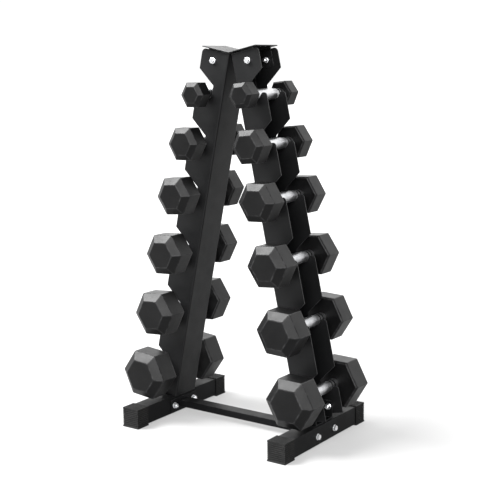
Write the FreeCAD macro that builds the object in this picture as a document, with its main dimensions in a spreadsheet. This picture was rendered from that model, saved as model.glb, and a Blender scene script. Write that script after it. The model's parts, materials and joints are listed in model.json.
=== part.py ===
import FreeCAD, Part
import math
import os
import re
import Sketcher
from FreeCAD import Placement, Rotation, Vector

# A-frame dumbbell rack with six tiers on each side and its twelve hex dumbbells.
# X runs from the left foot to the right foot, Y from front to rear, Z up; the floor is Z = 0.
# A leg's own frame has its origin where the two web planes meet: its X is the distance out
# from the web and its Z runs up along the leg.

SIZES = {
    # leg channels
    "apex_height": 1028.0,
    "leg_tilt": 12.0,
    "leg_gap": 1.7,
    "leg_top_drop": 11.5,
    "channel_width": 90.0,
    "flange_depth": 88.5,
    "gauge": 2.5,
    "bend_radius": 4.5,
    "top_corner_radius": 12.0,
    # teeth and cradles, from one tooth corner to the next along the leg
    "tooth_start": 66.0,
    "pitch_ab": 136.0,
    "pitch_bc": 143.0,
    "pitch_cd": 164.5,
    "pitch_de": 172.5,
    "pitch_ef": 185.5,
    "throat_drop": 36.0,
    "seat_drop_a": 60.0, "seat_drop_b": 55.4, "seat_drop_c": 55.4,
    "seat_drop_d": 55.4, "seat_drop_e": 55.4, "seat_drop_f": 52.0,
    "seat_play": 3.0,
    "lip_radius": 9.5,
    "lip_drop": 10.9,
    # top cap
    "cap_drop": 5.5,
    "cap_reach": 83.5,
    "cap_overhang": 6.75,
    "tab_width": 42.0,
    "tab_length": 50.0,
    "fit_gap": 0.3,
    # bolts that hold the flanges
    "flange_bolt_depth": 49.0,
    "top_bolt_drop": 38.0,
    "leg_bolt_rise": 20.5,
    # feet
    "foot_inset": 8.4,
    "foot_lift": 3.5,
    "tube_side": 50.0,
    "tube_wall": 2.0,
    "tube_length": 395.0,
    "sleeve_wall": 2.0,
    "sleeve_length": 45.0,
    "sleeve_end": 5.0,
    "sleeve_flare": 0.8,
    "flare_height": 3.0,
    "rib_depth": 1.4,
    "rib_gap": 1.9,
    "rib_pitch": 5.3,
    # bracket between foot tube and leg
    "bracket_width": 40.0,
    "bracket_height": 48.0,
    # crossbar
    "bar_height": 26.8,
    "bar_depth": 38.0,
    "bar_rise": 19.0,
    "bar_wall": 1.5,
    "plate_gauge": 3.0,
    "plate_length": 110.0,
    "plate_rise": 36.0,
    "foot_bolt_spacing": 85.4,
    # fasteners
    "bolt_size": 8.0,
    "bolt_play": 0.3,
    "hex_across": 13.0,
    "head_height": 5.3,
    "nut_height": 6.5,
    "washer_size": 17.0,
    "washer_gauge": 1.6,
    "flange_bolt_length": 20.0,
    "thread_end": 4.0,
    # dumbbell handles
    "grip_diameter": 28.0,
    "grip_swell": 2.0,
    "swell_length": 82.0,
    "spigot_diameter": 24.0,
    "spigot_length": 24.0,
    "collar_play": 0.3,
    "ring_inner": 52.0,
    "ring_spacing": 13.0,
    "ring_width": 3.0,
    "ring_depth": 1.2,
    "seat_gap": 0.3,
    # hex heads: across flats, thickness of the full hexagon, bevel depth and inset, gap between heads
    "skin": 5.0,
    "inner_bevel": 4.0,
    "flats_a": 64.0, "thick_a": 38.0, "bevel_a": 8.0, "inset_a": 12.5, "span_a": 141.0,
    "flats_b": 85.5, "thick_b": 43.5, "bevel_b": 11.5, "inset_b": 16.0, "span_b": 147.0,
    "flats_c": 98.0, "thick_c": 48.5, "bevel_c": 14.0, "inset_c": 20.0, "span_c": 151.0,
    "flats_d": 106.5, "thick_d": 52.5, "bevel_d": 15.5, "inset_d": 22.5, "span_d": 154.0,
    "flats_e": 115.0, "thick_e": 56.0, "bevel_e": 16.0, "inset_e": 23.0, "span_e": 158.0,
    "flats_f": 126.0, "thick_f": 59.5, "bevel_f": 17.0, "inset_f": 24.5, "span_f": 162.0,
    # how far each dumbbell has rolled in its cradle
    "roll_left_a": 0.0, "roll_right_a": -6.3,
    "roll_left_b": -0.5, "roll_right_b": -5.0,
    "roll_left_c": -4.2, "roll_right_c": -2.0,
    "roll_left_d": -2.7, "roll_right_d": -4.4,
    "roll_left_e": -3.5, "roll_right_e": 2.7,
    "roll_left_f": 5.5, "roll_right_f": 1.6,
}
ROWS = "abcdef"
SIDES = {"left": -1, "right": 1}
ENDS = {"front": -1, "rear": 1}
CUT_OVER = 5.0

FLANGE_SEAT = "(grip_diameter / 2 + seat_play)"
SEAT_DEPTH = "(flange_depth - 2 * lip_radius - " + FLANGE_SEAT + ")"
INSIDE = "(channel_width - 2 * gauge - 2 * fit_gap)"
# the legs end a gap above the foot tubes, which stand a little inside the legs' lower bolts
LEG_LENGTH = "((apex_height - foot_lift - tube_side - leg_gap) / cos(leg_tilt))"
BOLT_REACH = "flange_bolt_depth * cos(leg_tilt) + (" + LEG_LENGTH + " - leg_bolt_rise) * sin(leg_tilt)"
FOOT_CENTRE = "(" + BOLT_REACH + " - foot_inset)"
CAP_LENGTH = "(channel_width + 2 * cap_overhang)"
SLEEVE_SIDE = "(tube_side + 2 * sleeve_wall)"

doc = FreeCAD.newDocument("DumbbellRack")
nodes = []


def make_sheet():
    """Write every size into the sheet under its own alias."""
    sheet = doc.addObject("Spreadsheet::Sheet", "Dims")
    for line, (alias, value) in enumerate(SIZES.items(), 1):
        sheet.set("A%d" % line, alias)
        sheet.set("B%d" % line, repr(value))
        sheet.setAlias("B%d" % line, alias)
    doc.recompute()


def cells(text):
    """Point every size named in an expression at its cell."""
    return re.sub(r"[a-z_]+", lambda m: "Dims." + m.group() if m.group() in SIZES else m.group(), text)


def bind(item, prop, text):
    item.setExpression(prop, cells(text))


def keep(item, label):
    """Name a finished sub-part, so that it is written to its own file."""
    item.Label = label
    nodes.append(item)
    return item


def new_body(name):
    return doc.addObject("PartDesign::Body", name)


def new_sketch(body, name, role):
    """A sketch on one of the body's own origin planes."""
    sketch = body.newObject("Sketcher::SketchObject", name)
    plane = [f for f in body.Origin.OriginFeatures if f.Role == role][0]
    sketch.AttachmentSupport = [(plane, "")]
    sketch.MapMode = "FlatFace"
    return sketch


def pin(sketch, axis, geo, point, text):
    """Hold one coordinate of a sketch point at an expression."""
    index = sketch.addConstraint(Sketcher.Constraint("Distance" + axis, -1, 1, geo, point, 1.0))
    sketch.setExpression("Constraints[%d]" % index, cells(text))


def add_rectangle(sketch, left, low, right, high):
    """A rectangle whose sides lie at four expressions."""
    corners = [Vector(0, 0, 0), Vector(9, 0, 0), Vector(9, 9, 0), Vector(0, 9, 0)]
    first = sketch.GeometryCount
    for i in range(4):
        sketch.addGeometry(Part.LineSegment(corners[i], corners[(i + 1) % 4]), False)
    for i in range(4):
        sketch.addConstraint(Sketcher.Constraint("Coincident", first + i, 2, first + (i + 1) % 4, 1))
        kind = "Vertical" if i % 2 else "Horizontal"
        sketch.addConstraint(Sketcher.Constraint(kind, first + i))
    pin(sketch, "X", first, 1, left)
    pin(sketch, "Y", first, 1, low)
    pin(sketch, "X", first + 1, 2, right)
    pin(sketch, "Y", first + 1, 2, high)


def add_circle(sketch, across, up, diameter):
    geo = sketch.addGeometry(Part.Circle(Vector(1, 1, 0), Vector(0, 0, 1), 2.0), False)
    index = sketch.addConstraint(Sketcher.Constraint("Diameter", geo, 4.0))
    sketch.setExpression("Constraints[%d]" % index, cells(diameter))
    pin(sketch, "X", geo, 3, across)
    pin(sketch, "Y", geo, 3, up)


def pad(body, sketch, length, midplane=True, reverse=False):
    feature = body.newObject("PartDesign::Pad", sketch.Name + "Pad")
    feature.Profile = sketch
    feature.Midplane = midplane
    feature.Reversed = reverse
    bind(feature, "Length", length)
    doc.recompute()
    return feature


def pocket(body, sketch, length, midplane=True, reverse=False):
    """Cut a sketch out of the body and make sure that it took material away."""
    before = body.Shape.Volume
    feature = body.newObject("PartDesign::Pocket", sketch.Name + "Pocket")
    feature.Profile = sketch
    feature.Midplane = midplane
    feature.Reversed = reverse
    bind(feature, "Length", length)
    doc.recompute()
    if body.Shape.Volume > before - 0.01:
        raise RuntimeError(sketch.Name + " cuts nothing")
    return feature


def line_edges(feature, test):
    """Names of the straight edges whose middle and direction pass a test."""
    names = []
    for i, edge in enumerate(feature.Shape.Edges, 1):
        if isinstance(edge.Curve, Part.Line):
            middle = (edge.Vertexes[0].Point + edge.Vertexes[-1].Point) * 0.5
            way = edge.Vertexes[-1].Point - edge.Vertexes[0].Point
            if test(middle, way.normalize()):
                names.append("Edge%d" % i)
    return names


def fillet(body, feature, names, radius):
    rounded = body.newObject("PartDesign::Fillet", body.Name + "Fillet")
    rounded.Base = (feature, names)
    bind(rounded, "Radius", radius)
    doc.recompute()
    return rounded


def place(item, x, y, z):
    for axis, text in zip("xyz", (x, y, z)):
        bind(item, "Placement.Base." + axis, text)


def leg_point(out, up):
    """World X and Z of a point of the right leg, from its distance out and its height up the leg."""
    x = "((%s) * cos(leg_tilt) - (%s) * sin(leg_tilt))" % (out, up)
    z = "(apex_height + (%s) * sin(leg_tilt) + (%s) * cos(leg_tilt))" % (out, up)
    return x, z


def signed(side, text):
    return text if side > 0 else "-" + text


def tooth_drop(row):
    """Distance down the leg to a tooth corner."""
    steps = ["pitch_" + ROWS[i:i + 2] for i in range(ROWS.index(row))]
    return " + ".join(["tooth_start"] + steps)


# ---------------------------------------------------------------- leg channels

def notch_sketch(body, row):
    """The throat, cradle and lip below one tooth corner, as one closed outline."""
    s = SIZES
    seat = s["grip_diameter"] / 2 + s["seat_play"]
    seat_x = s["flange_depth"] - 2 * s["lip_radius"] - seat
    seat_y = -s["seat_drop_" + row]
    lip_x = s["flange_depth"] - s["lip_radius"]
    lip_y = seat_y - s["lip_drop"]
    gap = math.hypot(lip_x - seat_x, lip_y - seat_y)
    turn = math.atan2(lip_y - seat_y, lip_x - seat_x) - math.acos((seat + s["lip_radius"]) / gap)
    way = Vector(math.cos(turn), math.sin(turn), 0)
    corner = Vector(s["flange_depth"], 0, 0)
    throat = Vector(seat_x - seat, -s["throat_drop"], 0)
    wall_end = Vector(seat_x - seat, seat_y, 0)
    ramp_low = Vector(seat_x, seat_y, 0) + way * seat
    ramp_top = Vector(lip_x, lip_y, 0) - way * s["lip_radius"]
    lip_out = Vector(s["flange_depth"], lip_y, 0)
    past_low = lip_out + Vector(CUT_OVER, 0, 0)
    past_top = corner + Vector(CUT_OVER, 0, 0)
    axis = Vector(0, 0, 1)
    seat_arc = Part.ArcOfCircle(Part.Circle(Vector(seat_x, seat_y, 0), axis, seat),
                                math.pi, turn + 2 * math.pi)
    lip_arc = Part.ArcOfCircle(Part.Circle(Vector(lip_x, lip_y, 0), axis, s["lip_radius"]),
                               0, turn + math.pi)
    sketch = new_sketch(body, "Notch_" + row, "XZ_Plane")
    outline = [Part.LineSegment(corner, throat), Part.LineSegment(throat, wall_end), seat_arc,
               Part.LineSegment(ramp_low, ramp_top), lip_arc, Part.LineSegment(lip_out, past_low),
               Part.LineSegment(past_low, past_top), Part.LineSegment(past_top, corner)]
    for piece in outline:
        sketch.addGeometry(piece, False)
    rules = [("Coincident", 0, 2, 1, 1), ("Tangent", 1, 2, 2, 1), ("Tangent", 2, 2, 3, 1),
             ("Tangent", 3, 2, 4, 2), ("Coincident", 4, 1, 5, 1), ("Coincident", 5, 2, 6, 1),
             ("Coincident", 6, 2, 7, 1), ("Coincident", 7, 2, 0, 1), ("Vertical", 1),
             ("Horizontal", 5), ("Vertical", 6), ("Horizontal", 7), ("Horizontal", 4, 3, 4, 1)]
    for rule in rules:
        sketch.addConstraint(Sketcher.Constraint(*rule))
    for geo, size, value in ((2, FLANGE_SEAT, seat), (4, "lip_radius", s["lip_radius"])):
        index = sketch.addConstraint(Sketcher.Constraint("Radius", geo, value))
        sketch.setExpression("Constraints[%d]" % index, cells(size))
    pin_at(sketch, "X", 0, 1, "flange_depth", corner.x)
    pin_at(sketch, "Y", 0, 1, "0", 0.0)
    pin_at(sketch, "X", 0, 2, SEAT_DEPTH + " - " + FLANGE_SEAT, throat.x)
    pin_at(sketch, "Y", 0, 2, "-throat_drop", throat.y)
    pin_at(sketch, "Y", 2, 3, "-seat_drop_" + row, seat_y)
    pin_at(sketch, "X", 4, 3, "flange_depth - lip_radius", lip_x)
    pin_at(sketch, "Y", 4, 3, "-seat_drop_%s - lip_drop" % row, lip_y)
    pin_at(sketch, "X", 5, 2, "flange_depth + %s" % CUT_OVER, past_low.x)
    sketch.setExpression("AttachmentOffset.Base.y", cells("-(%s)" % tooth_drop(row)))
    return sketch


def pin_at(sketch, axis, geo, point, text, value):
    """Hold a coordinate at an expression, starting from its own value."""
    index = sketch.addConstraint(Sketcher.Constraint("Distance" + axis, -1, 1, geo, point, value))
    if text != "0":
        sketch.setExpression("Constraints[%d]" % index, cells(text))


def make_leg(side):
    """One bent channel with six cradles cut into both of its flanges."""
    body = new_body(side.capitalize() + "LegChannel")
    profile = new_sketch(body, "Blank", "XZ_Plane")
    add_rectangle(profile, "0", "-" + LEG_LENGTH, "flange_depth", "-leg_top_drop")
    pad(body, profile, "channel_width")
    hollow = new_sketch(body, "Hollow", "XZ_Plane")
    add_rectangle(hollow, "gauge", "-" + LEG_LENGTH + " - 1", "flange_depth + 1", "1 - leg_top_drop")
    tip = pocket(body, hollow, "channel_width - 2 * gauge")
    for depth, radius in ((0.0, "bend_radius"), (SIZES["gauge"], "bend_radius - gauge")):
        names = line_edges(tip, lambda p, w: abs(p.x - depth) < 0.01 and abs(w.z) > 0.99)
        tip = fillet(body, tip, names, radius)
    names = line_edges(tip, lambda p, w: abs(w.y) > 0.99 and p.x > SIZES["flange_depth"] - 0.01
                       and p.z > -SIZES["leg_top_drop"] - 0.01)
    fillet(body, tip, names, "top_corner_radius")
    for row in ROWS:
        pocket(body, notch_sketch(body, row), "channel_width + 2")
    holes = new_sketch(body, "BoltHoles", "XZ_Plane")
    for up in ("-top_bolt_drop", "leg_bolt_rise - " + LEG_LENGTH):
        add_circle(holes, "flange_bolt_depth", up, "bolt_size + 2 * bolt_play")
    pocket(body, holes, "channel_width + 2")
    tilt = SIZES["leg_tilt"]
    if side == "right":
        body.Placement.Rotation = Rotation(Vector(0, 1, 0), -tilt)
    else:
        body.Placement.Rotation = Rotation(Vector(0, 0, 1), 180) * Rotation(Vector(0, 1, 0), -tilt)
    place(body, "0", "0", "apex_height")
    keep(body, side + "_leg_channel")


# ---------------------------------------------------------------- top cap

def tilted_sketch(body, name, side):
    """A sketch in the leg's own frame, at the apex."""
    sketch = new_sketch(body, name, "XZ_Plane")
    sketch.AttachmentOffset = Placement(Vector(0, SIZES["apex_height"], 0),
                                        Rotation(Vector(0, 0, 1), side * SIZES["leg_tilt"]))
    sketch.setExpression("AttachmentOffset.Base.y", cells("apex_height"))
    return sketch


def add_tilted_rectangle(sketch, side, near, low, far, high):
    if side > 0:
        add_rectangle(sketch, near, low, far, high)
    else:
        add_rectangle(sketch, "-(%s)" % far, low, "-(%s)" % near, high)


def make_top_cap():
    """The V-bent plate with four tabs that hang inside the channel tops."""
    body = new_body("TopCap")
    under = "-(cap_drop + gauge)"
    for name, side in SIDES.items():
        wing = tilted_sketch(body, "Wing_" + name, side)
        add_tilted_rectangle(wing, side, under + " * tan(leg_tilt)", under,
                             "cap_reach / cos(leg_tilt)", "-cap_drop")
        pad(body, wing, CAP_LENGTH)
    for name, side in SIDES.items():
        block = tilted_sketch(body, "TabBlock_" + name, side)
        near, far = "flange_bolt_depth - tab_width / 2", "flange_bolt_depth + tab_width / 2"
        add_tilted_rectangle(block, side, near, under + " - tab_length", far, under + " + gauge / 2")
        pad(body, block, INSIDE)
        space = tilted_sketch(body, "TabSpace_" + name, side)
        add_tilted_rectangle(space, side, near + " - 1", under + " - tab_length - 1", far + " + 1", under)
        tip = pocket(body, space, INSIDE + " - 2 * gauge")
    low = SIZES["cap_drop"] + SIZES["gauge"] + SIZES["tab_length"]
    level = SIZES["apex_height"] - low + 12
    names = line_edges(tip, lambda p, w: abs(w.y) > 0.99 and p.z < level)
    fillet(body, tip, names, "tab_width / 4")
    for name, side in SIDES.items():
        holes = tilted_sketch(body, "TabHole_" + name, side)
        add_circle(holes, signed(side, "flange_bolt_depth"), "-top_bolt_drop", "bolt_size + 2 * bolt_play")
        pocket(body, holes, "channel_width")
    keep(body, "top_cap")


# ---------------------------------------------------------------- feet and crossbar

def make_foot_tube(side):
    body = new_body(side.capitalize() + "FootTube")
    outer = new_sketch(body, "Outer", "XZ_Plane")
    add_rectangle(outer, "-tube_side / 2", "0", "tube_side / 2", "tube_side")
    solid = pad(body, outer, "tube_length")
    names = line_edges(solid, lambda p, w: abs(w.y) > 0.99)
    fillet(body, solid, names, "tube_wall")
    inner = new_sketch(body, "Inner", "XZ_Plane")
    add_rectangle(inner, "tube_wall - tube_side / 2", "tube_wall", "tube_side / 2 - tube_wall",
                  "tube_side - tube_wall")
    pocket(body, inner, "tube_length + 2")
    holes = new_sketch(body, "BoltHoles", "YZ_Plane")
    for end in ENDS.values():
        add_circle(holes, signed(end, "foot_bolt_spacing / 2"), "bar_height - foot_lift",
                   "bolt_size + 2 * bolt_play")
    pocket(body, holes, "tube_side + 2")
    place(body, signed(SIDES[side], FOOT_CENTRE), "0", "foot_lift")
    keep(body, side + "_foot_tube")


def make_sleeve(side, end):
    """The ribbed rubber cap on one end of a foot tube."""
    body = new_body("Sleeve_%s_%s" % (side, end))
    top = "(foot_lift + tube_side + sleeve_wall)"
    half = SLEEVE_SIDE + " / 2"
    shell = new_sketch(body, "Shell", "XZ_Plane")
    add_rectangle(shell, "-" + half, "0", half, top)
    pad(body, shell, "sleeve_length", midplane=False)
    flare = new_sketch(body, "Flare", "XY_Plane")
    add_rectangle(flare, "-" + half + " - sleeve_flare", "-sleeve_length - sleeve_flare",
                  half + " + sleeve_flare", "0")
    pad(body, flare, "flare_height", midplane=False)
    mouth = new_sketch(body, "Mouth", "XZ_Plane")
    add_rectangle(mouth, "-tube_side / 2", "foot_lift", "tube_side / 2", "foot_lift + tube_side")
    pocket(body, mouth, "sleeve_length - sleeve_end", midplane=False, reverse=True)
    ring = new_sketch(body, "SideRib", "XY_Plane")
    ring.setExpression("AttachmentOffset.Base.z", cells("flare_height + rib_pitch / 2"))
    add_rectangle(ring, "-" + SLEEVE_SIDE, "-2 * sleeve_length", SLEEVE_SIDE, "0")
    add_rectangle(ring, "rib_depth - " + half, "rib_depth - sleeve_length", half + " - rib_depth", "-0.001")
    cut = pocket(body, ring, "rib_gap", midplane=False, reverse=True)
    height = SIZES["foot_lift"] + SIZES["tube_side"] + SIZES["sleeve_wall"] - SIZES["flare_height"]
    repeat(body, cut, "Z_Axis", "rib_pitch", int(height / SIZES["rib_pitch"]))
    groove = new_sketch(body, "TopRib", "XZ_Plane")
    add_rectangle(groove, "rib_pitch - " + half, top + " - rib_depth",
                  "rib_pitch + rib_gap - " + half, top + " + 1")
    cut = pocket(body, groove, "sleeve_length + 1", midplane=False, reverse=True)
    width = SIZES["tube_side"] + 2 * SIZES["sleeve_wall"]
    repeat(body, cut, "X_Axis", "rib_pitch", int(width / SIZES["rib_pitch"]) - 1)
    turn = 0 if end == "front" else 180
    body.Placement.Rotation = Rotation(Vector(0, 0, 1), turn)
    reach = "(tube_length / 2 - sleeve_length + sleeve_end)"
    place(body, signed(SIDES[side], FOOT_CENTRE), signed(ENDS[end], reach), "0")
    keep(body, "%s_foot_cap_%s" % (side, end))


def repeat(body, feature, axis_role, step, count):
    """Repeat a cut along one of the body's axes."""
    axis = [f for f in body.Origin.OriginFeatures if f.Role == axis_role][0]
    pattern = body.newObject("PartDesign::LinearPattern", feature.Name + "Row")
    pattern.Originals = [feature]
    pattern.Direction = (axis, [""])
    pattern.Mode = "Spacing"
    pattern.Occurrences = count
    bind(pattern, "Offset", step)
    body.Tip = pattern
    doc.recompute()


def make_bracket(side):
    """The U-shaped bracket on a foot tube, between the channel's flanges."""
    sign = SIDES[side]
    body = new_body(side.capitalize() + "LegBracket")
    base = "(foot_lift + tube_side)"
    block = new_sketch(body, "Block", "XZ_Plane")
    add_rectangle(block, "-bracket_width / 2", "0", "bracket_width / 2", "bracket_height")
    pad(body, block, INSIDE)
    space = new_sketch(body, "Space", "XZ_Plane")
    add_rectangle(space, "-bracket_width / 2 - 1", "gauge", "bracket_width / 2 + 1", "bracket_height + 1")
    tip = pocket(body, space, INSIDE + " - 2 * gauge")
    top = SIZES["bracket_height"] - 0.01
    names = line_edges(tip, lambda p, w: abs(w.y) > 0.99 and p.z > top)
    fillet(body, tip, names, "bracket_width / 4")
    x, z = leg_point("flange_bolt_depth", "leg_bolt_rise - " + LEG_LENGTH)
    hole = new_sketch(body, "Hole", "XZ_Plane")
    add_circle(hole, signed(sign, "(%s - %s)" % (x, FOOT_CENTRE)), "%s - %s" % (z, base),
               "bolt_size + 2 * bolt_play")
    pocket(body, hole, "channel_width")
    place(body, signed(sign, FOOT_CENTRE), "0", base)
    keep(body, side + "_leg_bracket")


def make_crossbar():
    body = new_body("Crossbar")
    half = "(" + FOOT_CENTRE + " - tube_side / 2 - plate_gauge)"
    outer = new_sketch(body, "Outer", "YZ_Plane")
    add_rectangle(outer, "-bar_depth / 2", "-bar_rise / 2", "bar_depth / 2", "bar_rise / 2")
    solid = pad(body, outer, "2 * " + half)
    names = line_edges(solid, lambda p, w: abs(w.x) > 0.99)
    fillet(body, solid, names, "bar_wall")
    inner = new_sketch(body, "Inner", "YZ_Plane")
    add_rectangle(inner, "bar_wall - bar_depth / 2", "bar_wall - bar_rise / 2",
                  "bar_depth / 2 - bar_wall", "bar_rise / 2 - bar_wall")
    pocket(body, inner, "2 * " + FOOT_CENTRE)
    place(body, "0", "0", "bar_height")
    keep(body, "crossbar_tube")


def make_end_plates():
    """The two bolted plates on the ends of the crossbar."""
    plates = []
    for name, side in SIDES.items():
        plate = doc.addObject("Part::Box", "Plate_" + name)
        bind(plate, "Length", "plate_gauge")
        bind(plate, "Width", "plate_length")
        bind(plate, "Height", "plate_rise")
        face = FOOT_CENTRE + " - tube_side / 2"
        x = face + " - plate_gauge" if side > 0 else "-(%s)" % face
        place(plate, x, "-plate_length / 2", "bar_height - plate_rise / 2")
        for end_name, end in ENDS.items():
            drill = doc.addObject("Part::Cylinder", "Drill_%s_%s" % (name, end_name))
            bind(drill, "Radius", "bolt_size / 2 + bolt_play")
            bind(drill, "Height", "tube_side")
            drill.Placement.Rotation = Rotation(Vector(0, 1, 0), 90)
            place(drill, signed(side, "(%s)" % face) + " - tube_side / 2",
                  signed(end, "foot_bolt_spacing / 2"), "bar_height")
            cut = doc.addObject("Part::Cut", "Drilled_%s_%s" % (name, end_name))
            cut.Base = plate
            cut.Tool = drill
            plate = cut
        plates.append(plate)
    keep(group("EndPlates", plates), "crossbar_end_plates")


def group(name, members):
    compound = doc.addObject("Part::Compound", name)
    compound.Links = members
    return compound


# ---------------------------------------------------------------- fasteners

def make_fasteners(label, spots, way_out, face, length, stack):
    """Bolts, nuts and washers of one kind of joint.

    spots are world points on the bolt axes, way_out gives the direction in which a head points,
    face is how far out the head's washer lies, stack how far in the nut's washer lies from there.
    """
    bolts, nuts, washers = [], [], []
    for i, spot in enumerate(spots):
        out = way_out(spot)
        turn = Rotation(Vector(0, 0, 1), out)
        name = "%s%d" % (label, i)
        shank = doc.addObject("Part::Cylinder", name + "Shank")
        bind(shank, "Radius", "bolt_size / 2")
        bind(shank, "Height", length + " + head_height / 2")
        head = doc.addObject("Part::Prism", name + "Head")
        head.Polygon = 6
        bind(head, "Circumradius", "hex_across / 2 / cos(30)")
        bind(head, "Height", "head_height")
        set_along(shank, spot, turn, out, face + " + washer_gauge - (%s)" % length)
        set_along(head, spot, turn, out, face + " + washer_gauge")
        bolt = doc.addObject("Part::Fuse", name + "Bolt")
        bolt.Base = head
        bolt.Tool = shank
        bolts.append(bolt)
        inner = face + " - (%s)" % stack
        nuts.append(ring_part(name + "Nut", "Part::Prism", "nut_height", spot, turn, out,
                              inner + " - washer_gauge - nut_height"))
        washers.append(ring_part(name + "WasherOut", "Part::Cylinder", "washer_gauge", spot, turn, out, face))
        washers.append(ring_part(name + "WasherIn", "Part::Cylinder", "washer_gauge", spot, turn, out,
                                 inner + " - washer_gauge"))
    for kind, members in (("bolts", bolts), ("nuts", nuts), ("washers", washers)):
        keep(group(label.capitalize() + kind.capitalize(), members), "%s_%s" % (label, kind))


def ring_part(name, kind, height, spot, turn, out, shift):
    """A nut or washer: a prism or a disc with the bolt's hole through it."""
    blank = doc.addObject(kind, name + "Blank")
    bind(blank, "Height", height)
    if kind == "Part::Prism":
        blank.Polygon = 6
        bind(blank, "Circumradius", "hex_across / 2 / cos(30)")
        play = "0"
    else:
        bind(blank, "Radius", "washer_size / 2")
        play = "bolt_play"
    drill = doc.addObject("Part::Cylinder", name + "Drill")
    bind(drill, "Radius", "bolt_size / 2 + " + play)
    bind(drill, "Height", "%s + 2" % height)
    set_along(blank, spot, turn, out, shift)
    set_along(drill, spot, turn, out, shift + " - 1")
    cut = doc.addObject("Part::Cut", name)
    cut.Base = blank
    cut.Tool = drill
    return cut


def set_along(item, spot, turn, out, shift):
    """Put an item on a bolt axis, shifted outwards by an expression."""
    item.Placement.Rotation = turn
    across = [("%s" % text) if way == 0 else "(%s) * %d" % (shift, round(way))
              for text, way in zip(spot, (out.x, out.y, out.z))]
    place(item, *across)


def make_all_fasteners():
    flange_face = "(channel_width / 2)"
    flange_stack = "2 * gauge + fit_gap"
    for label, up in (("top", "-top_bolt_drop"), ("leg", "leg_bolt_rise - " + LEG_LENGTH)):
        x, z = leg_point("flange_bolt_depth", up)
        spots = [(signed(side, x), signed(end, "1"), z) for side in SIDES.values() for end in ENDS.values()]
        make_fasteners(label, spots, lambda spot: Vector(0, -1 if spot[1][0] == "-" else 1, 0),
                       flange_face, "flange_bolt_length", flange_stack)
    foot_face = "(" + FOOT_CENTRE + " + tube_side / 2)"
    foot_stack = "tube_side + plate_gauge"
    spots = [(signed(side, "1"), signed(end, "foot_bolt_spacing / 2"), "bar_height")
             for side in SIDES.values() for end in ENDS.values()]
    length = "tube_side + plate_gauge + 2 * washer_gauge + nut_height + thread_end"
    make_fasteners("foot", spots, lambda spot: Vector(-1 if spot[0][0] == "-" else 1, 0, 0),
                   foot_face, length, foot_stack)


# ---------------------------------------------------------------- dumbbells

def hexagon_sketch(body, name, radius, depth):
    """A hexagon across the handle's axis, corners to the sides, at a depth towards the front."""
    sketch = new_sketch(body, name, "XZ_Plane")
    sketch.setExpression("AttachmentOffset.Base.z", cells(depth))
    corners = [Vector(40 * math.cos(math.radians(60 * i)), 40 * math.sin(math.radians(60 * i)), 0)
               for i in range(6)]
    for i in range(6):
        sketch.addGeometry(Part.LineSegment(corners[i], corners[(i + 1) % 6]), False)
    for i in range(6):
        sketch.addConstraint(Sketcher.Constraint("Coincident", i, 2, (i + 1) % 6, 1))
    for i in range(6):
        angle = 60 * i
        pin(sketch, "X", i, 1, "(%s) * %r" % (radius, round(math.cos(math.radians(angle)), 12)))
        pin(sketch, "Y", i, 1, "(%s) * %r" % (radius, round(math.sin(math.radians(angle)), 12)))
    return sketch


def hex_loft(body, name, kind, stations):
    """A straight-sided loft through hexagons given as (circumradius, depth)."""
    sketches = [hexagon_sketch(body, "%s%d" % (name, i), radius, depth)
                for i, (radius, depth) in enumerate(stations)]
    loft = body.newObject("PartDesign::" + kind, name)
    loft.Profile = sketches[0]
    loft.Sections = sketches[1:]
    loft.Ruled = True
    doc.recompute()
    return loft


def head_stations(row, skin):
    """Hexagons of a head's outer surface, or of its core when skin is the rubber's thickness."""
    corner = "(flats_%s / 2 / cos(30))" % row
    inner = "span_%s / 2" % row
    outer = "span_%s / 2 + thick_%s" % (row, row)
    tip = outer + " + bevel_%s" % row
    if skin:
        full = corner + " - skin / cos(30)"
        return [(full, inner + " + skin"), (full, outer), (full + " - inset_%s" % row, tip + " - skin")]
    return [(corner + " - inner_bevel", inner), (corner, inner + " + inner_bevel"),
            (corner, outer), (corner + " - inset_%s" % row, tip)]


def bore(body, name, radius, start, depth):
    """A round hole into the face that looks towards the handle."""
    sketch = new_sketch(body, name, "XZ_Plane")
    sketch.setExpression("AttachmentOffset.Base.z", cells(start))
    add_circle(sketch, "0", "0", "2 * (%s)" % radius)
    pocket(body, sketch, depth, midplane=False, reverse=True)


def make_head(row):
    body = new_body("Head_" + row)
    hex_loft(body, "Rubber", "AdditiveLoft", head_stations(row, False))
    hex_loft(body, "Cavity", "SubtractiveLoft", head_stations(row, True))
    bore(body, "HandleHole", "grip_diameter / 2 + collar_play", "span_%s / 2 - 1" % row, "skin + 1")
    return body


def make_core(row):
    body = new_body("Core_" + row)
    hex_loft(body, "Iron", "AdditiveLoft", head_stations(row, True))
    bore(body, "Socket", "spigot_diameter / 2", "span_%s / 2 + skin" % row, "spigot_length")
    return body


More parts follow.
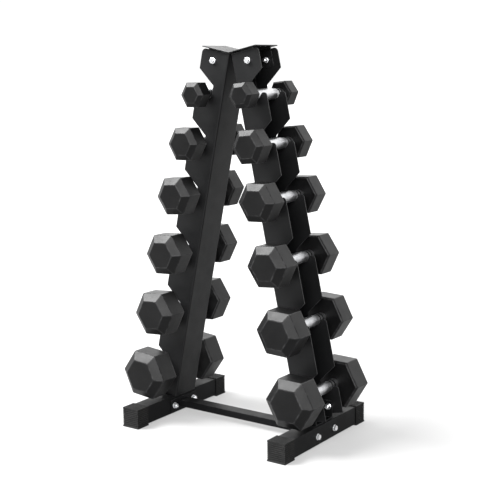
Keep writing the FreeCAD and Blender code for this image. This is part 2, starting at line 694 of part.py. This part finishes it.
def make_handle(row):
    """A turned handle: swollen grip, plain ends with two rings each, and spigots in the cores."""
    body = new_body("Handle_" + row)
    s = SIZES
    grip, spigot = s["grip_diameter"] / 2, s["spigot_diameter"] / 2
    shoulder = s["span_" + row] / 2 + s["skin"]
    end, swell = shoulder + s["spigot_length"], s["swell_length"] / 2
    half = [Vector(0, end, 0), Vector(spigot, end, 0), Vector(spigot, shoulder, 0),
            Vector(grip, shoulder, 0), Vector(grip, swell, 0)]
    other = [Vector(p.x, -p.y, 0) for p in reversed(half)]
    sketch = new_sketch(body, "Profile", "XY_Plane")
    arc = Part.Arc(half[-1], Vector(grip + s["grip_swell"], 0, 0), other[0])
    pieces = [Part.LineSegment(a, b) for a, b in zip(half, half[1:])] + [arc]
    pieces += [Part.LineSegment(a, b) for a, b in zip(other, other[1:])]
    pieces.append(Part.LineSegment(other[-1], half[0]))
    for piece in pieces:
        sketch.addGeometry(piece, False)
    count = len(pieces)
    arc_at = len(half) - 1
    for i in range(count):
        follower = (i + 1) % count
        ends = (1 if i == arc_at else 2, 2 if follower == arc_at else 1)
        sketch.addConstraint(Sketcher.Constraint("Coincident", i, ends[0], follower, ends[1]))
    long_end = "(span_%s / 2 + skin + spigot_length)" % row
    step = "(span_%s / 2 + skin)" % row
    stops = [("0", long_end), ("spigot_diameter / 2", long_end), ("spigot_diameter / 2", step),
             ("grip_diameter / 2", step), ("grip_diameter / 2", "swell_length / 2")]
    for i, (across, along) in enumerate(stops):
        geo, point = (i, 1) if i < arc_at else (i - 1, 2)
        place_point(sketch, geo, point, across, along, half[i])
        place_point(sketch, count - 1 - i, 1, across, "-" + along, Vector(half[i].x, -half[i].y, 0))
    bulge = bulge_radius(swell, s["grip_swell"])
    index = sketch.addConstraint(Sketcher.Constraint("Radius", arc_at, bulge))
    radius = "(swell_length * swell_length / 4 + grip_swell * grip_swell) / (2 * grip_swell)"
    sketch.setExpression("Constraints[%d]" % index, cells(radius))
    turned = body.newObject("PartDesign::Revolution", "Turned")
    turned.Profile = sketch
    turned.ReferenceAxis = (sketch, ["V_Axis"])
    turned.Angle = 360
    doc.recompute()
    rings = new_sketch(body, "Rings", "XY_Plane")
    for sign in ENDS.values():
        for number in range(2):
            middle = "(ring_inner + %d * ring_spacing)" % number
            low, high = signed(sign, middle) + " - ring_width / 2", signed(sign, middle) + " + ring_width / 2"
            add_rectangle(rings, "grip_diameter / 2 - ring_depth", low, "grip_diameter / 2 + 3", high)
    before = body.Shape.Volume
    cut = body.newObject("PartDesign::Groove", "RingCuts")
    cut.Profile = rings
    cut.ReferenceAxis = (rings, ["V_Axis"])
    cut.Angle = 360
    doc.recompute()
    if body.Shape.Volume > before - 1:
        raise RuntimeError("the rings cut nothing")
    return body


def bulge_radius(half_chord, rise):
    return (half_chord * half_chord + rise * rise) / (2 * rise)


def place_point(sketch, geo, point, across, along, at):
    pin_at(sketch, "X", geo, point, across, at.x)
    pin_at(sketch, "Y", geo, point, along, at.y)


def mirrored(item):
    mirror = doc.addObject("Part::Mirroring", item.Name + "Far")
    mirror.Source = item
    mirror.Normal = Vector(0, 1, 0)
    return mirror


def make_dumbbells():
    """Six sizes, each lying once in a left and once in a right cradle."""
    sag = "(seat_play - seat_gap)"
    for row in ROWS:
        head, core, handle = make_head(row), make_core(row), make_handle(row)
        parts = {"heads": [head, mirrored(head)], "cores": [core, mirrored(core)], "handle": [handle]}
        out = "%s - %s * sin(leg_tilt)" % (SEAT_DEPTH, sag)
        up = "-(%s + seat_drop_%s) - %s * cos(leg_tilt)" % (tooth_drop(row), row, sag)
        x, z = leg_point(out, up)
        for side, sign in SIDES.items():
            for kind, members in parts.items():
                item = group("%s_%s_%s" % (kind, side, row), members)
                item.Placement.Rotation = Rotation(Vector(0, 1, 0), SIZES["roll_%s_%s" % (side, row)])
                place(item, signed(sign, x), "0", z)
                keep(item, "dumbbell_%s_%s_%s" % (side, row, kind))


def check_and_write():
    """Refuse a broken document, then write each sub-part to its own file."""
    doc.recompute()
    for item in doc.Objects:
        if "Invalid" in item.State or "Error" in item.State:
            raise RuntimeError("%s is not valid: %s" % (item.Name, item.State))
    os.makedirs("parts", exist_ok=True)
    for item in nodes:
        if item.Shape.isNull() or not item.Shape.isValid() or not item.Shape.Solids:
            raise RuntimeError(item.Label + " has no valid solid")
        item.Shape.exportStep("parts/%s.step" % item.Label)


make_sheet()
for side_name in SIDES:
    make_leg(side_name)
    make_foot_tube(side_name)
    make_bracket(side_name)
    for end_name in ENDS:
        make_sleeve(side_name, end_name)
make_top_cap()
make_crossbar()
make_end_plates()
make_all_fasteners()
make_dumbbells()
check_and_write()
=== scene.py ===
"""Looks of an A-frame dumbbell rack with twelve rubber hex dumbbells, round its CAD frame."""
import json
import math

import bmesh
import bpy
from mathutils import Matrix, Vector

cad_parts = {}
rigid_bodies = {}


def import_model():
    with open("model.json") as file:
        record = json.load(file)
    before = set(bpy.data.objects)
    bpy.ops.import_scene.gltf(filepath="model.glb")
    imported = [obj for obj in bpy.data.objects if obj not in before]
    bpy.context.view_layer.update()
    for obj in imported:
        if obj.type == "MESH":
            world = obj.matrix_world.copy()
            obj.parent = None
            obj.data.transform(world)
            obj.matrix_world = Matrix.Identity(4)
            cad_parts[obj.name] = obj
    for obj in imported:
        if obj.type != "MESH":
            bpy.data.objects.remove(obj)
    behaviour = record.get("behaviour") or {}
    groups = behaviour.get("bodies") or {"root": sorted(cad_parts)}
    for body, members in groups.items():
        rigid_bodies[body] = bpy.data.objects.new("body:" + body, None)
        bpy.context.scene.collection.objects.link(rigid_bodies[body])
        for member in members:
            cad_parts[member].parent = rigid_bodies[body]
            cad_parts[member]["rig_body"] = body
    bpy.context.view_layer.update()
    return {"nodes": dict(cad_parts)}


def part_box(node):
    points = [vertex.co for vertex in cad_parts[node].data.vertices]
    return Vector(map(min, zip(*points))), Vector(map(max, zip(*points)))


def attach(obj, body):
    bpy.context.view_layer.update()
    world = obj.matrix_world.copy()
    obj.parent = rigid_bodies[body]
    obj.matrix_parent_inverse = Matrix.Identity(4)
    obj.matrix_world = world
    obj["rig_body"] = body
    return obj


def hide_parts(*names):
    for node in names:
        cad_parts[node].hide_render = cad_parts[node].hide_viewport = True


MM = 0.001

# camera: place in metres, turns in radians, lens and sensor width in millimetres
CAMERA_AT = Vector((1.6757, -2.3451, 0.9965))
CAMERA_YAW = -0.613
CAMERA_PITCH = 0.173
CAMERA_ROLL = -0.010
LENS_MM = 77.4648
SENSOR_MM = 36.0

# broad lights: name, where it comes from, strength
SOFT_LIGHTS = [("Key", Vector((-0.56, -0.33, 0.74)), 18.0),
               ("Front", Vector((0.41, -0.81, 0.39)), 6.0)]
SOFT_LIGHT_ANGLE = math.radians(40)
BACKDROP_STRENGTH = 1.05
# the sky goes from its first strength to its second as a direction's Y goes over the span
SKY_SPAN = (-0.2, 0.75)
SKY_STRENGTH = (0.3, 3.0)
FLOOR_HALF_SIDE = 40.0
FLOOR_GLOW = 0.4

WELD_DISTANCE = 0.002 * MM

# rounding of a head's edges: this share of its height and this much more
HEAD_EDGE_SHARE = 0.013
HEAD_EDGE_MORE = 0.3 * MM

# how deep the grooves of a foot cap lie below its outer faces
GROOVE_SUNK = (1.2 * MM, 3.2 * MM)

# handles: grip, knurl, and the two rings at each end, measured from the middle of the handle
GRIP_RADIUS = 14 * MM
KNURL_PITCH = 1.5 * MM
KNURL_SLOPE = 0.58
KNURL_END = (36 * MM, 38 * MM)
RING_PAIR_MIDDLE = 58.5 * MM
RING_HALF_SPACING = 6.5 * MM
RING_HALF_WIDTH = (2.0 * MM, 2.6 * MM)


# ---------------------------------------------------------------- node helpers

class Nodes:
    """Short calls for building one material's node tree."""

    def __init__(self, name):
        self.material = bpy.data.materials.new(name)
        self.material.use_nodes = True
        self.tree = self.material.node_tree
        self.shader = self.tree.nodes["Principled BSDF"]
        self.place = self.add("ShaderNodeTexCoord").outputs["Object"]

    def add(self, kind, **inputs):
        node = self.tree.nodes.new(kind)
        for name, value in inputs.items():
            self.feed(node.inputs[name], value)
        return node

    def feed(self, socket, value):
        if isinstance(value, bpy.types.NodeSocket):
            self.tree.links.new(value, socket)
        else:
            socket.default_value = value

    def noise(self, scale, detail=2.0, roughness=0.5):
        node = self.add("ShaderNodeTexNoise", Vector=self.place, Scale=scale, Detail=detail,
                        Roughness=roughness)
        return node.outputs["Fac"]

    def spread(self, value, low, high, to_low, to_high):
        """Map a value from one range to another, clamped."""
        node = self.tree.nodes.new("ShaderNodeMapRange")
        for socket, item in zip(node.inputs, (value, low, high, to_low, to_high)):
            self.feed(socket, item)
        return node.outputs["Result"]

    def math(self, operation, first, second=0.0):
        node = self.tree.nodes.new("ShaderNodeMath")
        node.operation = operation
        self.feed(node.inputs[0], first)
        self.feed(node.inputs[1], second)
        return node.outputs["Value"]

    def mix(self, factor, first, second):
        node = self.tree.nodes.new("ShaderNodeMix")
        node.data_type = "RGBA"
        self.feed(node.inputs[0], factor)
        for socket, colour in ((node.inputs[6], first), (node.inputs[7], second)):
            linked = isinstance(colour, bpy.types.NodeSocket)
            self.feed(socket, colour if linked else (*colour, 1.0))
        return node.outputs[2]

    def mark(self, name):
        """1 on the faces that the mesh code marked with this name, 0 elsewhere."""
        node = self.tree.nodes.new("ShaderNodeAttribute")
        node.attribute_name = name
        return node.outputs["Fac"]

    def edge_wear_and_highlight(self, scale, roughness, low, high, least, most):
        """The rounded edges, painted lighter unevenly, partly as wear and partly as painted
        highlight: noise between low and high becomes least to most.
        """
        rub = self.spread(self.noise(scale, 5.0, roughness), low, high, least, most)
        return self.math("MULTIPLY", self.mark("edge"), rub)

    def bump(self, layers):
        """Stack bumps given as (height, strength, distance in metres)."""
        normal = None
        for height, strength, distance in layers:
            node = self.add("ShaderNodeBump", Height=height, Strength=strength, Distance=distance)
            if normal:
                self.feed(node.inputs["Normal"], normal)
            normal = node.outputs["Normal"]
        self.feed(self.shader.inputs["Normal"], normal)

    def finish(self, colour, roughness, metallic=0.0, specular=0.5):
        self.feed(self.shader.inputs["Base Color"], colour)
        self.feed(self.shader.inputs["Roughness"], roughness)
        self.shader.inputs["Metallic"].default_value = metallic
        self.shader.inputs["Specular IOR Level"].default_value = specular
        return self.material


# ---------------------------------------------------------------- materials

def powder_coat(name, level, shine):
    """Fine-textured black powder coat, with its rounded edges painted brighter, partly as rubbed
    wear and partly as painted highlight.
    """
    n = Nodes(name)
    dark = [level * c for c in (0.7, 0.72, 0.78)]
    light = [level * c for c in (1.2, 1.23, 1.3)]
    body = n.mix(n.noise(9.0, 4.0, 0.55), dark, light)
    rubbed_and_lit = n.edge_wear_and_highlight(60.0, 0.6, 0.42, 0.62, 0.15, 1.0)
    # rounded edges painted lighter: partly wear, partly painted highlight
    colour = n.mix(rubbed_and_lit, body, (0.045, 0.046, 0.047))
    smudge = n.spread(n.noise(22.0, 6.0, 0.6), 0.3, 0.7, 0.40, 0.54)
    roughness = n.math("SUBTRACT", smudge, n.math("MULTIPLY", rubbed_and_lit, 0.12))
    n.bump([(n.noise(240.0, 2.0), 0.10, 0.0003), (n.noise(1500.0, 2.0, 0.6), 0.35, 0.0001)])
    return n.finish(colour, roughness, specular=shine)


def head_rubber():
    """Moulded rubber with a fine pebble, faint flow marks, and rounded edges painted lighter,
    partly as scuffs and partly as painted highlight.
    """
    n = Nodes("head_rubber")
    cloud = n.spread(n.noise(16.0, 5.0, 0.6), 0.3, 0.7, 0.0, 1.0)
    body = n.mix(cloud, (0.0014, 0.0014, 0.0015), (0.003, 0.003, 0.0031))
    specks = n.spread(n.noise(700.0, 2.0), 0.66, 0.74, 0.0, 0.5)
    speckled = n.mix(specks, body, (0.014, 0.014, 0.014))
    scuffed_and_lit = n.edge_wear_and_highlight(90.0, 0.65, 0.4, 0.62, 0.1, 0.9)
    # rounded edges painted lighter: partly scuffs, partly painted highlight
    colour = n.mix(scuffed_and_lit, speckled, (0.018, 0.018, 0.0185))
    roughness = n.spread(n.noise(30.0, 5.0, 0.6), 0.3, 0.7, 0.37, 0.47)
    pebble = n.add("ShaderNodeTexVoronoi", Vector=n.place, Scale=950.0).outputs["Distance"]
    n.bump([(n.noise(38.0, 2.0), 0.18, 0.0012), (pebble, 0.22, 0.00012)])
    return n.finish(colour, roughness, specular=0.11)


def foot_rubber():
    """Softer, duller rubber of the ribbed foot caps, dusty on its ribs, with painted shade making
    the grooves between them near black, and edges painted lighter as wear and painted highlight.
    """
    n = Nodes("foot_rubber")
    groove = n.mark("groove")
    dust = n.spread(n.noise(45.0, 6.0, 0.65), 0.45, 0.7, 0.0, 0.55)
    colour = n.mix(dust, (0.009, 0.009, 0.009), (0.019, 0.0187, 0.0184))
    # painted shade: the faces in the grooves between the ribs are coloured near black
    groove_shaded = n.mix(groove, colour, (0.001, 0.001, 0.001))
    # edges painted lighter: partly wear, partly painted highlight
    worn_and_lit = n.mix(n.math("MULTIPLY", n.mark("edge"), 0.6), groove_shaded, (0.030, 0.030, 0.030))
    matt = n.spread(n.noise(80.0, 4.0), 0.3, 0.7, 0.42, 0.56)
    roughness = n.math("MAXIMUM", matt, groove)
    n.bump([(n.noise(900.0, 3.0, 0.6), 0.3, 0.00012)])
    return n.finish(worn_and_lit, roughness, specular=0.02)


def chrome():
    """Satin chrome with a diamond knurl round the middle and painted shade darkening the two ring
    grooves at each end.
    """
    n = Nodes("chrome_grip")
    around = n.add("ShaderNodeUVMap").outputs["UV"]
    split = n.add("ShaderNodeSeparateXYZ", Vector=around)
    across, along = split.outputs["X"], split.outputs["Y"]
    waves = []
    for slope in (-KNURL_SLOPE, KNURL_SLOPE):
        line = n.math("ADD", across, n.math("MULTIPLY", along, slope))
        wave = n.math("SINE", n.math("MULTIPLY", line, math.pi / KNURL_PITCH))
        waves.append(n.math("ABSOLUTE", wave))
    knurl = n.math("MULTIPLY", waves[0], waves[1])
    off_centre = n.math("ABSOLUTE", along)
    middle = n.spread(off_centre, *KNURL_END, 1.0, 0.0)
    haze = n.noise(55.0, 5.0, 0.65)
    cloud = n.spread(haze, 0.35, 0.7, 0.0, 1.0)
    colour = n.mix(cloud, (0.38, 0.383, 0.39), (0.31, 0.315, 0.325))
    roughness = n.spread(haze, 0.3, 0.75, 0.30, 0.42)
    off_pair = n.math("ABSOLUTE", n.math("SUBTRACT", off_centre, RING_PAIR_MIDDLE))
    off_ring = n.math("ABSOLUTE", n.math("SUBTRACT", off_pair, RING_HALF_SPACING))
    ring = n.spread(off_ring, *RING_HALF_WIDTH, 1.0, 0.0)
    # painted shade: the ring grooves near each end are coloured near black
    ring_shaded = n.mix(ring, colour, (0.006, 0.006, 0.006))
    n.bump([(n.math("MULTIPLY", knurl, middle), 0.5, 0.0002), (n.noise(180.0, 3.0), 0.05, 0.0002)])
    return n.finish(ring_shaded, roughness, metallic=1.0)


def zinc():
    """Bright zinc plate of the bolts, with a slightly cloudy passivated surface."""
    n = Nodes("zinc_steel")
    cloud = n.spread(n.noise(160.0, 5.0, 0.6), 0.3, 0.7, 0.0, 1.0)
    colour = n.mix(cloud, (0.88, 0.88, 0.89), (0.72, 0.73, 0.75))
    roughness = n.spread(n.noise(260.0, 4.0), 0.3, 0.7, 0.22, 0.36)
    n.bump([(n.noise(700.0, 3.0), 0.15, 0.0001)])
    return n.finish(colour, roughness, metallic=1.0)


def cast_iron():
    """Rough casting of the cores inside the rubber."""
    n = Nodes("core_iron")
    sand = n.noise(500.0, 6.0, 0.7)
    colour = n.mix(sand, (0.07, 0.068, 0.066), (0.20, 0.19, 0.185))
    roughness = n.spread(sand, 0.3, 0.7, 0.55, 0.75)
    n.bump([(sand, 0.5, 0.0004)])
    return n.finish(colour, roughness, metallic=0.8)


def floor_paint():
    """Plain floor that glows a little, so that it shows pale and its shadows stay light."""
    n = Nodes("floor")
    colour = n.mix(n.noise(0.8, 2.0), (0.145, 0.145, 0.145), (0.155, 0.155, 0.155))
    roughness = n.spread(n.noise(2.0, 2.0), 0.3, 0.7, 0.75, 0.85)
    n.shader.inputs["Emission Color"].default_value = (1.0, 1.0, 1.0, 1.0)
    n.shader.inputs["Emission Strength"].default_value = FLOOR_GLOW
    return n.finish(colour, roughness, specular=0.2)


# ---------------------------------------------------------------- mesh helpers

def link(mesh, name):
    piece = bpy.data.objects.new(name, mesh)
    bpy.context.scene.collection.objects.link(piece)
    return piece


def sharp_edges(shape, angle):
    return [e for e in shape.edges if len(e.link_faces) == 2 and e.calc_face_angle(0.0) > angle]


def round_edges(shape, width, segments, angle):
    """Round the edges that turn by more than the angle and mark their new faces, which some
    materials paint lighter as wear and painted highlight.
    """
    edge_layer = shape.faces.layers.float.new("edge")
    made = bmesh.ops.bevel(shape, geom=sharp_edges(shape, math.radians(angle)), offset=width,
                           offset_type="OFFSET", segments=segments, profile=0.5,
                           affect="EDGES", clamp_overlap=True)
    for face in made["faces"]:
        face[edge_layer] = 1.0


def wrap(shape, centre):
    """UVs in metres round and along a handle that lies along Y."""
    layer = shape.loops.layers.uv.new("UVMap")
    for face in shape.faces:
        middle = face.calc_center_median()
        base = math.atan2(middle.z - centre.z, middle.x - centre.x)
        for loop in face.loops:
            point = loop.vert.co
            turn = math.atan2(point.z - centre.z, point.x - centre.x) - base
            turn = (turn + math.pi) % (2 * math.pi) - math.pi
            loop[layer].uv = ((base + turn) * GRIP_RADIUS, point.y - centre.y)


def mark_faces(shape, name, test):
    """Give the faces that pass a test a value that their material reads."""
    layer = shape.faces.layers.float.new(name)
    for face in shape.faces:
        if test(face.calc_center_median()):
            face[layer] = 1.0


def to_piece(shape, node, material):
    """Turn a finished bmesh into a piece that stands for its CAD node."""
    for face in shape.faces:
        face.smooth = True
    name = node + "_finished"
    mesh = bpy.data.meshes.new(name)
    shape.to_mesh(mesh)
    shape.free()
    mesh.materials.append(material)
    piece = link(mesh, name)
    weigh = piece.modifiers.new("Normals", "WEIGHTED_NORMAL")
    weigh.keep_sharp = False
    weigh.weight = 90
    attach(piece, frame["nodes"][node]["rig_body"])
    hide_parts(node)


def join_flats(shape, angle):
    bmesh.ops.dissolve_limit(shape, angle_limit=math.radians(angle), verts=shape.verts,
                             edges=shape.edges)


def read_solid(node):
    """The CAD node's mesh, welded, with its flat areas joined into whole faces."""
    shape = bmesh.new()
    shape.from_mesh(frame["nodes"][node].data)
    bmesh.ops.remove_doubles(shape, verts=shape.verts, dist=WELD_DISTANCE)
    join_flats(shape, angle=0.4)
    return shape


def refine(node, width, segments, material, angle=28.0, mark=None):
    """A copy of a CAD node with rounded edges and, if asked, a mark on some faces."""
    shape = read_solid(node)
    round_edges(shape, width, segments, angle)
    if mark:
        mark_faces(shape, *mark)
    to_piece(shape, node, material)


def hull_heads(node):
    """The outer hexagonal skins of a pair of heads, as two closed shells of flat faces."""
    source = bmesh.new()
    source.from_mesh(frame["nodes"][node].data)
    shape = bmesh.new()
    for sign in (-1, 1):
        points = {tuple(round(c, 6) for c in v.co) for v in source.verts if v.co.y * sign > 0}
        verts = [shape.verts.new(p) for p in sorted(points)]
        hull = bmesh.ops.convex_hull(shape, input=verts)
        unused = hull["geom_interior"] + hull["geom_unused"]
        spare = {g for g in unused if isinstance(g, bmesh.types.BMVert)}
        bmesh.ops.delete(shape, geom=list(spare), context="VERTS")
    source.free()
    join_flats(shape, angle=2.0)
    bmesh.ops.recalc_face_normals(shape, faces=shape.faces)
    return shape


def make_heads(name, material):
    """Both heads of a dumbbell; larger heads have rounder edges."""
    node = name + "_heads"
    shape = hull_heads(node)
    low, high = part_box(node)
    width = HEAD_EDGE_SHARE * (high.z - low.z) + HEAD_EDGE_MORE
    round_edges(shape, width, segments=4, angle=20.0)
    to_piece(shape, node, material)


def make_handle(name, material):
    node = name + "_handle"
    low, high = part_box(node)
    shape = read_solid(node)
    round_edges(shape, 0.3 * MM, segments=2, angle=35.0)
    wrap(shape, (low + high) / 2)
    to_piece(shape, node, material)


def groove_test(node):
    """A test for the faces that lie in the grooves between the ribs of a foot cap."""
    low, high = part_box(node)
    end = low.y if low.y < 0 else high.y

    def test(at):
        sunk = min(at.x - low.x, high.x - at.x, abs(end - at.y), high.z - at.z)
        return GROOVE_SUNK[0] < sunk < GROOVE_SUNK[1]
    return test


def recolour(node, material):
    """Give a CAD node that stays in place its own material."""
    data = frame["nodes"][node].data
    data.materials.clear()
    data.materials.append(material)


# ---------------------------------------------------------------- stage, light, camera

def make_floor(material):
    shape = bmesh.new()
    bmesh.ops.create_grid(shape, x_segments=8, y_segments=8, size=FLOOR_HALF_SIDE)
    mesh = bpy.data.meshes.new("floor")
    shape.to_mesh(mesh)
    shape.free()
    mesh.materials.append(material)
    floor = link(mesh, "floor")


def make_world():
    """A white backdrop for the camera, and a soft sky that is brightest behind the object."""
    world = bpy.data.worlds.new("Studio")
    bpy.context.scene.world = world
    world.use_nodes = True
    tree = world.node_tree
    fill = tree.nodes["Background"]
    white = tree.nodes.new("ShaderNodeBackground")
    white.inputs["Strength"].default_value = BACKDROP_STRENGTH
    for glow in (fill, white):
        glow.inputs["Color"].default_value = (1.0, 1.0, 1.0, 1.0)
    coords = tree.nodes.new("ShaderNodeTexCoord")
    split = tree.nodes.new("ShaderNodeSeparateXYZ")
    tree.links.new(coords.outputs["Generated"], split.inputs["Vector"])
    ramp = tree.nodes.new("ShaderNodeMapRange")
    for socket, value in zip(list(ramp.inputs)[1:5], SKY_SPAN + SKY_STRENGTH):
        socket.default_value = value
    tree.links.new(split.outputs["Y"], ramp.inputs["Value"])
    tree.links.new(ramp.outputs["Result"], fill.inputs["Strength"])
    pick = tree.nodes.new("ShaderNodeMixShader")
    path = tree.nodes.new("ShaderNodeLightPath")
    tree.links.new(path.outputs["Is Camera Ray"], pick.inputs["Fac"])
    tree.links.new(fill.outputs["Background"], pick.inputs[1])
    tree.links.new(white.outputs["Background"], pick.inputs[2])
    tree.links.new(pick.outputs["Shader"], tree.nodes["World Output"].inputs["Surface"])


def make_soft_light(name, way_in, strength):
    light = bpy.data.lights.new(name, "SUN")
    light.energy = strength
    light.angle = SOFT_LIGHT_ANGLE
    lamp = bpy.data.objects.new(name, light)
    bpy.context.scene.collection.objects.link(lamp)
    lamp.rotation_mode = "QUATERNION"
    lamp.rotation_quaternion = way_in.to_track_quat("Z", "Y")


def make_camera():
    """A camera at the front right that takes in the whole rack."""
    forward = Vector((math.sin(CAMERA_YAW) * math.cos(CAMERA_PITCH),
                      math.cos(CAMERA_YAW) * math.cos(CAMERA_PITCH), -math.sin(CAMERA_PITCH)))
    right = forward.cross(Vector((0, 0, 1))).normalized()
    up = right.cross(forward)
    c, s = math.cos(CAMERA_ROLL), math.sin(CAMERA_ROLL)
    rolled_right, rolled_up = c * right + s * up, c * up - s * right
    data = bpy.data.cameras.new("Camera")
    data.sensor_width = SENSOR_MM
    data.lens = LENS_MM
    camera = bpy.data.objects.new("Camera", data)
    bpy.context.scene.collection.objects.link(camera)
    turn = Matrix((rolled_right, rolled_up, -forward)).transposed()
    camera.matrix_world = Matrix.Translation(CAMERA_AT) @ turn.to_4x4()
    bpy.context.scene.camera = camera


# ---------------------------------------------------------------- the model

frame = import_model()

coat = powder_coat("black_powder_coat", 0.0032, 0.14)
# painted shade: a darker, less glossy copy of the same coat for the low parts
shaded_coat = powder_coat("black_powder_coat_shaded", 0.003, 0.05)
rubber, foot = head_rubber(), foot_rubber()
bright, plate, iron = chrome(), zinc(), cast_iron()

# coated pieces with the width of their rounded edges in mm; the low ones get a darker, less glossy
# copy of the coat as painted shade
SHADED_PARTS = ("left_foot_tube", "right_foot_tube", "crossbar_tube", "crossbar_end_plates",
       "left_leg_bracket", "right_leg_bracket")
COATED = {"left_leg_channel": 0.45, "right_leg_channel": 0.45, "top_cap": 0.45,
          "left_leg_bracket": 0.4, "right_leg_bracket": 0.4, "left_foot_tube": 0.35,
          "right_foot_tube": 0.35, "crossbar_tube": 0.3, "crossbar_end_plates": 0.4}
for node, width in COATED.items():
    refine(node, width * MM, 2, shaded_coat if node in SHADED_PARTS else coat)
for side in ("left", "right"):
    for end in ("front", "rear"):
        node = "%s_foot_cap_%s" % (side, end)
        refine(node, 0.25 * MM, 2, foot, mark=("groove", groove_test(node)))
for label in ("top", "leg", "foot"):
    refine(label + "_bolts", 0.55 * MM, 3, plate, angle=40.0)
    refine(label + "_nuts", 0.5 * MM, 2, plate, angle=40.0)
    refine(label + "_washers", 0.25 * MM, 2, plate, angle=40.0)
for side in ("left", "right"):
    for row in "abcdef":
        name = "dumbbell_%s_%s" % (side, row)
        make_heads(name, rubber)
        make_handle(name, bright)
        recolour(name + "_cores", iron)

make_floor(floor_paint())
make_world()
for name, way_in, strength in SOFT_LIGHTS:
    make_soft_light(name, way_in, strength)
make_camera()
bpy.context.scene.view_settings.view_transform = "Standard"
